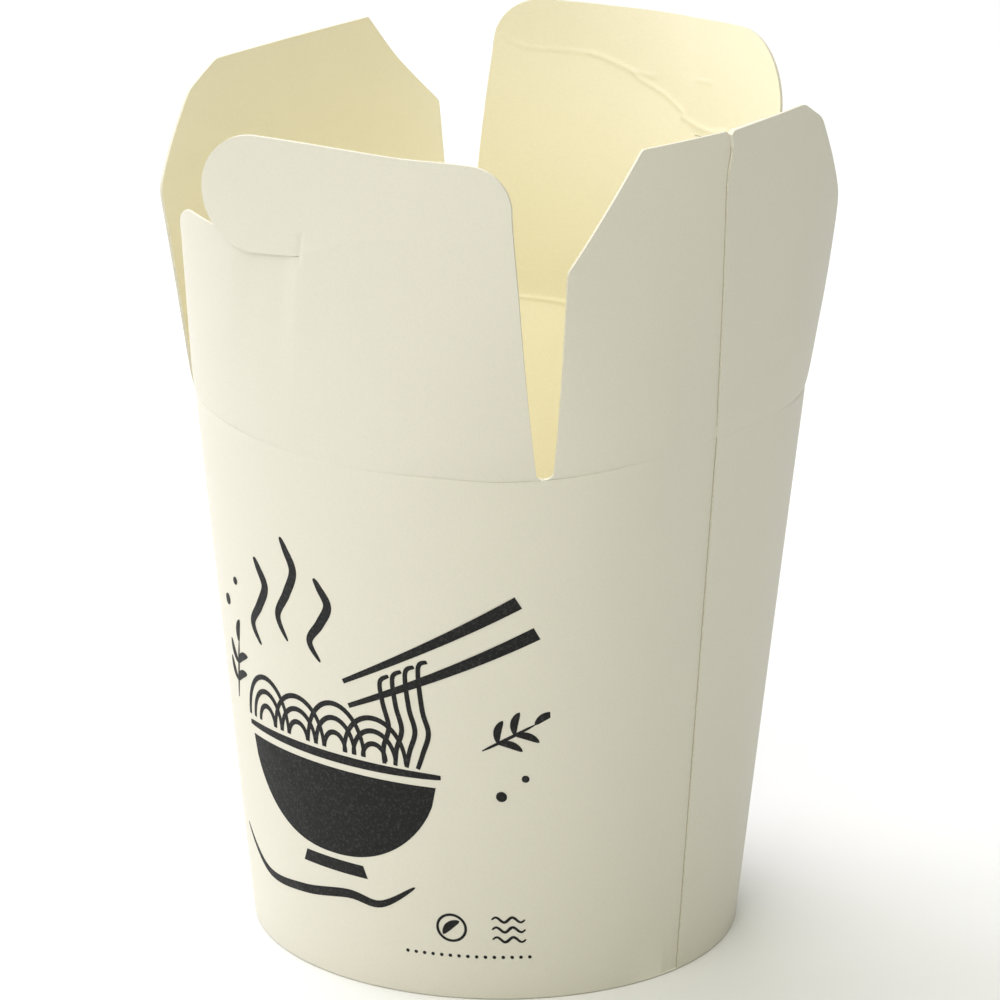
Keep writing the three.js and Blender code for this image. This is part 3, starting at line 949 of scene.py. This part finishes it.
def outer_tag(from_seam):
    """Material of an outer face whose corners lie at these distances from the seam."""
    if from_seam.max() > NEAR_LINE or from_seam.min() < -SEAM_SHADOW_WIDTH - NEAR_LINE:
        return OUTER
    # faces just to the left of the raw edge get the painted shadow strip
    return EDGE if from_seam.max() > -NEAR_LINE else SEAM_SHADOW


def make_flap(flap):
    kind = flap.kind
    sheet = dust_sheet(flap) if kind is DUST else closure_sheet(flap)
    x, y, lift = np.array(sheet.points, float).T
    x = flared(flap, x, y)
    from_seam = x - seam_at(y) if flap.ridge else np.full_like(x, NO_SEAM)
    outer_sunk, inner_sunk = plies(from_seam + ROUNDING)
    outer_relief, inner_relief = flap_relief(flap, x, y)
    outer_relief = outer_relief + seam_peel(from_seam, y)
    nominal, normal = flap_point(flap, x, y), flap_normal(flap, x, y)
    outer = nominal + normal * (lift + outer_relief - outer_sunk)[:, None]
    inner = nominal + normal * (lift + inner_relief - inner_sunk)[:, None]
    inner_faces, rim = close_board(sheet.faces, len(x))
    tags = [outer_tag(from_seam[list(face)]) for face in sheet.faces]
    tags += [INNER] * len(inner_faces) + [EDGE] * len(rim)
    piece = make_piece(flap.name + "_board", np.concatenate([outer, inner]),
                       sheet.faces + inner_faces + rim, BOARDS, tags)
    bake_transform(piece)
    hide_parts(flap.name)


# ---- Printed design ----

# A bowl of noodles with chopsticks, drawn in millimetres on the unrolled wall: u to the right
# of the design's middle, v up from the floor.
PRINT_AZIMUTH = 2
INK_LIFT = 0.035  # the ink film's outer face above the board
INK_DEPTH = 0.06
INK_STEP = 1.2  # widest strip of ink between two rows of points
STROKE_FULLNESS = 0.6  # the less, the sooner a stroke comes to its full width


class InkLayer:
    """Closed films of ink that follow the wall, gathered into one mesh."""

    def __init__(self):
        self.points = []
        self.faces = []

    def place(self, u, v, lift):
        """A point above the wall. Its azimuth and the wall's radius depend on each other."""
        azimuth = PRINT_AZIMUTH
        for _ in range(2):
            radius = float(wall_outer(np.array([azimuth]), v)[0])
            azimuth = PRINT_AZIMUTH + math.degrees(u / radius)
        turn = math.radians(azimuth)
        radius += lift
        return (radius * math.sin(turn), -radius * math.cos(turn), v)

    def band(self, lower, upper):
        """Ink between two lines of equally many points."""
        widest = max(math.dist(a, b) for a, b in zip(lower, upper))
        across = max(1, math.ceil(widest / INK_STEP))
        columns, start = len(lower), len(self.points)
        for lift in (INK_LIFT, INK_LIFT - INK_DEPTH):
            for share in even(across):
                self.points += [self.place(mix(a[0], b[0], share), mix(a[1], b[1], share), lift)
                                for a, b in zip(lower, upper)]
        corners = [start + columns * row + k for row in range(across) for k in range(columns - 1)]
        top = [(c, c + 1, c + 1 + columns, c + columns) for c in corners]
        below, rim = close_board(top, columns * (across + 1))
        self.faces += top + below + rim

    def stroke(self, path, width, taper=(0.35, 0.35)):
        """A brush stroke along a path. taper is the share of its width at either end."""
        low, high = [], []
        for i, (u, v) in enumerate(path):
            before, after = path[max(0, i - 1)], path[min(len(path) - 1, i + 1)]
            du, dv = after[0] - before[0], after[1] - before[1]
            length = math.hypot(du, dv)
            share = i / (len(path) - 1)
            swell = math.sin(math.pi * share) ** STROKE_FULLNESS
            here = width / 2 * mix(mix(taper[0], taper[1], share), 1, swell)
            nu, nv = -dv / length * here, du / length * here
            low.append((u - nu, v - nv))
            high.append((u + nu, v + nv))
        self.band(low, high)

    def dot(self, centre, radius, count=14):
        self.band(arc(centre, radius, 180, 360, count), arc(centre, radius, 180, 0, count))


def smooth_path(stops, steps=10):
    """A curve through its stops (Catmull-Rom)."""
    ends = [stops[0], *stops, stops[-1]]
    path = []
    for a, b, c, d in zip(ends, ends[1:], ends[2:], ends[3:]):
        for t in even(steps)[:-1]:
            path.append(tuple(
                0.5 * (2 * q + (r - p) * t + (2 * p - 5 * q + 4 * r - s) * t * t
                       + (3 * q - p - 3 * r + s) * t ** 3)
                for p, q, r, s in zip(a, b, c, d)))
    return path + [stops[-1]]


BOWL_MIDDLE, BOWL_RIM = -3, 44
BOWL_HALF = 23  # half-width at the rim
BODY_HALF, BODY_DEPTH = 0.955 * BOWL_HALF, 17
BODY_ROUNDNESS = (2.3, 0.62)  # exponents of its curve
RIM_LINE, RIM_GAP = 1.7, 2.1  # width of the rim's line, and from its middle to the body
FOOT_TOP, FOOT_HEIGHT = 23.8, 2.4
FOOT_HALVES = (7.5, 6.6)  # half its width at the bottom and at the top
HEAPS = (-16.5, -7.5, 1.5, 10)  # middles of the heaps of noodles
HEAP_RADIUS, HEAP_HEIGHTS = 6.4, (9, 8)
HEAP_FOOT = 1.6  # above the rim
NOODLE_GAP, NOODLE_WIDTH = 2, 1.0
HANGING_FROM, HANGING_STEP = 9.5, 2.6  # places of the noodles that hang from the chopsticks
STICK_RISE = 1.3  # each of them starts higher by this much
STICK_ENDS = [((2, 55), (39, 73)), ((1, 59.5), (36, 79))]
STICK_HALVES = (0.45, 1.25)  # half a stick's width at either end
STEAM_AT = [(-20, 61, 17), (-12, 64, 20), (-4, 62, 16)]
STEAM_BENDS = [(0, 0), (-2.4, 0.22), (0.2, 0.46), (2.2, 0.7), (0.4, 0.9), (-0.8, 1)]
STEAM_WIDTH = 1.9
LEAF_BOW, LEAF_TURN = 0.12, 48  # share of its length, and degrees between it and the twig
LEAF_LENGTH, LAST_LEAF, LEAF_WIDTH = 0.42, 0.4, 0.13  # of the twig's length
SPRIGS = [((-31.5, 47), 78, 12), ((28, 50), 28, 11)]  # root, direction and length
BRUSH_STROKE = [(-33, 21), (-23, 15), (-11, 15.5), (0, 17.5), (7, 17), (14, 21.5)]
BRUSH_WIDTH = 1.8
DOTS = [(-33, 66, 1.1), (-28.5, 71, 0.75), (31, 41, 1.0), (35.5, 44.5, 0.7)]
MARKS_AT = MARKS_U, MARKS_V = 20.5, 14.3
MARK_RADIUS = 2.6


def across_bowl(half, count):
    return [BOWL_MIDDLE + half * s for s in np.linspace(-1, 1, count)]


def draw_bowl(ink):
    ink.stroke([(u, BOWL_RIM) for u in across_bowl(BOWL_HALF, 41)], RIM_LINE, taper=(0.5, 0.5))
    top = BOWL_RIM - RIM_GAP
    low, high = [], []
    for share in np.linspace(-1, 1, 49):
        u = BOWL_MIDDLE + BODY_HALF * share
        depth = BODY_DEPTH * (1 - abs(share) ** BODY_ROUNDNESS[0]) ** BODY_ROUNDNESS[1]
        low.append((u, top - depth))
        high.append((u, top))
    ink.band(low, high)
    ink.band([(u, FOOT_TOP - FOOT_HEIGHT) for u in across_bowl(FOOT_HALVES[0], 15)],
             [(u, FOOT_TOP) for u in across_bowl(FOOT_HALVES[1], 15)])


def draw_noodles(ink):
    """Heaps of noodles in the bowl, and a few that hang from the chopsticks."""
    for k, middle in enumerate(HEAPS):
        for ring in range(3):
            radius = HEAP_RADIUS - NOODLE_GAP * ring
            height = HEAP_HEIGHTS[k % 2] * radius / HEAP_RADIUS
            arch = [(BOWL_MIDDLE + middle - radius * math.cos(t),
                     BOWL_RIM + HEAP_FOOT + height * math.sin(t))
                    for t in spread(0, math.pi, 24)]
            ink.stroke(arch, NOODLE_WIDTH, taper=(0.7, 0.7))
    for k in range(4):
        u, rise = HANGING_FROM + HANGING_STEP * k, STICK_RISE * k
        hang = smooth_path([
            (u + 1.2, 62.5 + rise), (u - 0.6, 61 + rise), (u - 0.2, 57), (u + 0.8, 52.5),
            (u - 0.4, 48.5), (u - 0.4 - 0.4 * k, BOWL_RIM + 1.2),
        ])
        ink.stroke(hang, NOODLE_WIDTH, taper=(0.6, 0.8))


def draw_chopsticks(ink):
    for (u0, v0), (u1, v1) in STICK_ENDS:
        path = line((u0, v0), (u1, v1), 30)
        length = math.dist(path[0], path[-1])
        nu, nv = -(v1 - v0) / length, (u1 - u0) / length
        half = spread(*STICK_HALVES, 30)
        ink.band([(u - nu * h, v - nv * h) for (u, v), h in zip(path, half)],
                 [(u + nu * h, v + nv * h) for (u, v), h in zip(path, half)])


def draw_steam(ink):
    for u, v, height in STEAM_AT:
        path = smooth_path([(u + du, v + dv * height) for du, dv in STEAM_BENDS])
        ink.stroke(path, STEAM_WIDTH, taper=(0.12, 0.12))


def draw_leaf(ink, root, direction, length, width):
    path = []
    for share in even(16):
        along, aside = length * share, LEAF_BOW * length * math.sin(math.pi * share)
        du, dv = rotated(along, aside, math.radians(direction))
        path.append((root[0] + du, root[1] + dv))
    ink.stroke(path, width, taper=(0.08, 0.03))


def draw_sprig(ink, root, direction, size):
    """A twig with leaves in pairs."""
    du, dv = rotated(size, 0, math.radians(direction))
    tip = (root[0] + du, root[1] + dv)
    ink.stroke(line(root, tip, 8), 0.6)
    for share in (0.3, 0.62):
        at = (mix(root[0], tip[0], share), mix(root[1], tip[1], share))
        for aside in (LEAF_TURN, -LEAF_TURN):
            draw_leaf(ink, at, direction + aside, LEAF_LENGTH * size, LEAF_WIDTH * size)
    draw_leaf(ink, tip, direction, LAST_LEAF * size, LEAF_WIDTH * size)


def draw_small_marks(ink):
    """Two plain marks and a dotted line low on the wall."""
    ink.stroke(arc(MARKS_AT, MARK_RADIUS, 0, 360, 40), 0.5, taper=(1, 1))
    draw_leaf(ink, (MARKS_U - 1.6, MARKS_V - 1.4), 42, 4.2, 1.5)
    for v in (-2, 0, 2):
        wave = [(MARKS_U + 7.4 + 6 * share, MARKS_V + v + 0.5 * math.sin(2 * math.tau * share))
                for share in even(24)]
        ink.stroke(wave, 0.55, taper=(0.5, 0.5))
    for k in range(15):
        ink.dot((MARKS_U - 8.5 + 1.6 * k, MARKS_V - 5.6), 0.34, count=6)


def make_print():
    ink = InkLayer()
    draw_bowl(ink)
    draw_noodles(ink)
    draw_chopsticks(ink)
    draw_steam(ink)
    for sprig in SPRIGS:
        draw_sprig(ink, *sprig)
    ink.stroke(smooth_path(BRUSH_STROKE), BRUSH_WIDTH, taper=(0.1, 0.1))
    for u, v, radius in DOTS:
        ink.dot((u, v), radius)
    draw_small_marks(ink)
    piece = make_piece("print_design", ink.points, ink.faces, [ink_material()],
                       [0] * len(ink.faces))
    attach(piece, "box")


# ---- Studio ----

CAMERA_TURN = (37.09, 18.83, 0.633)  # azimuth, pitch and roll
CAMERA_REACH = 1047.4  # from the box's axis
CAMERA_HEIGHT = 437.07
CAMERA_LENS, CAMERA_SENSOR = 217.6, 36


def make_camera():
    azimuth, pitch, roll = map(math.radians, CAMERA_TURN)
    away = Vector((math.sin(azimuth), -math.cos(azimuth), 0))
    ahead = -away * math.cos(pitch) - Vector((0, 0, math.sin(pitch)))
    right = Vector((math.cos(azimuth), math.sin(azimuth), 0))
    up = right.cross(ahead)
    rolled_right = right * math.cos(roll) + up * math.sin(roll)
    rolled_up = up * math.cos(roll) - right * math.sin(roll)
    turned = Matrix((rolled_right, rolled_up, -ahead)).transposed()
    data = bpy.data.cameras.new("camera")
    data.sensor_width = CAMERA_SENSOR
    data.lens = CAMERA_LENS
    camera = add_object("camera", data)
    place = Vector((AXIS_X, AXIS_Y, CAMERA_HEIGHT * MM)) + away * CAMERA_REACH * MM
    camera.matrix_world = Matrix.Translation(place) @ turned.to_4x4()
    bpy.context.scene.camera = camera


# soft lights round the box: name, azimuth, elevation, watts and how blue they are
STUDIO_LIGHTS = [
    ("high_back_light", -120, 60, 18, 1.08),
    ("left_light", -78, 34, 9.2, 1.08),
    ("low_left_light", -60, 24, 8, 1.06),
    ("front_light", 0, 38, 7.2, 0.95),
    ("high_right_light", 55, 62, 12.4, 0.9),
]
LIGHT_DISTANCE, LIGHT_SIZE = 1.6, 1.2  # metres
LIGHT_AIM = 0.08  # height of the point that the lights face
FLOOR_HALF = 6  # metres


def add_light(name, azimuth, elevation, power, blue):
    """A square soft light that faces the middle of the box."""
    data = bpy.data.lights.new(name, "AREA")
    data.shape = "SQUARE"
    data.size = LIGHT_SIZE
    data.energy = power
    data.color = (1, 1, blue)
    light = add_object(name, data)
    turn, lift = math.radians(azimuth), math.radians(elevation)
    away = Vector((math.sin(turn) * math.cos(lift), -math.cos(turn) * math.cos(lift),
                   math.sin(lift)))
    light.location = Vector((0, 0, LIGHT_AIM)) + away * LIGHT_DISTANCE
    light.rotation_mode = "QUATERNION"
    light.rotation_quaternion = (-away).to_track_quat("-Z", "Y")


def make_world():
    world = bpy.data.worlds.new("studio")
    world.use_nodes = True
    background = world.node_tree.nodes["Background"]
    put(background, "Color", (1, 1, 0.93, 1))
    put(background, "Strength", 0.2)
    bpy.context.scene.world = world


def make_floor():
    material, tree, shader = node_material("floor")
    tone = noise_ramp(tree, FLOOR_SCALE, 2, (0.79, 0.788, 0.77), (0.81, 0.808, 0.79))
    tree.links.new(tone, shader.inputs["Base Color"])
    put(shader, "Roughness", 0.9)
    put(shader, "Specular IOR Level", 0.1)
    mesh = bpy.data.meshes.new("floor")
    corners = [(-1, -1), (1, -1), (1, 1), (-1, 1)]
    mesh.from_pydata([(x * FLOOR_HALF, y * FLOOR_HALF, 0) for x, y in corners],
                     [], [(0, 1, 2, 3)])
    mesh.materials.append(material)
    floor = add_object("floor", mesh)


# ---- The scene ----

make_camera()
make_wall()
make_base()
for each_flap in FLAPS:
    make_flap(each_flap)
make_print()
make_world()
for studio_light in STUDIO_LIGHTS:
    add_light(*studio_light)
make_floor()
bpy.context.scene.view_settings.view_transform = "Standard"
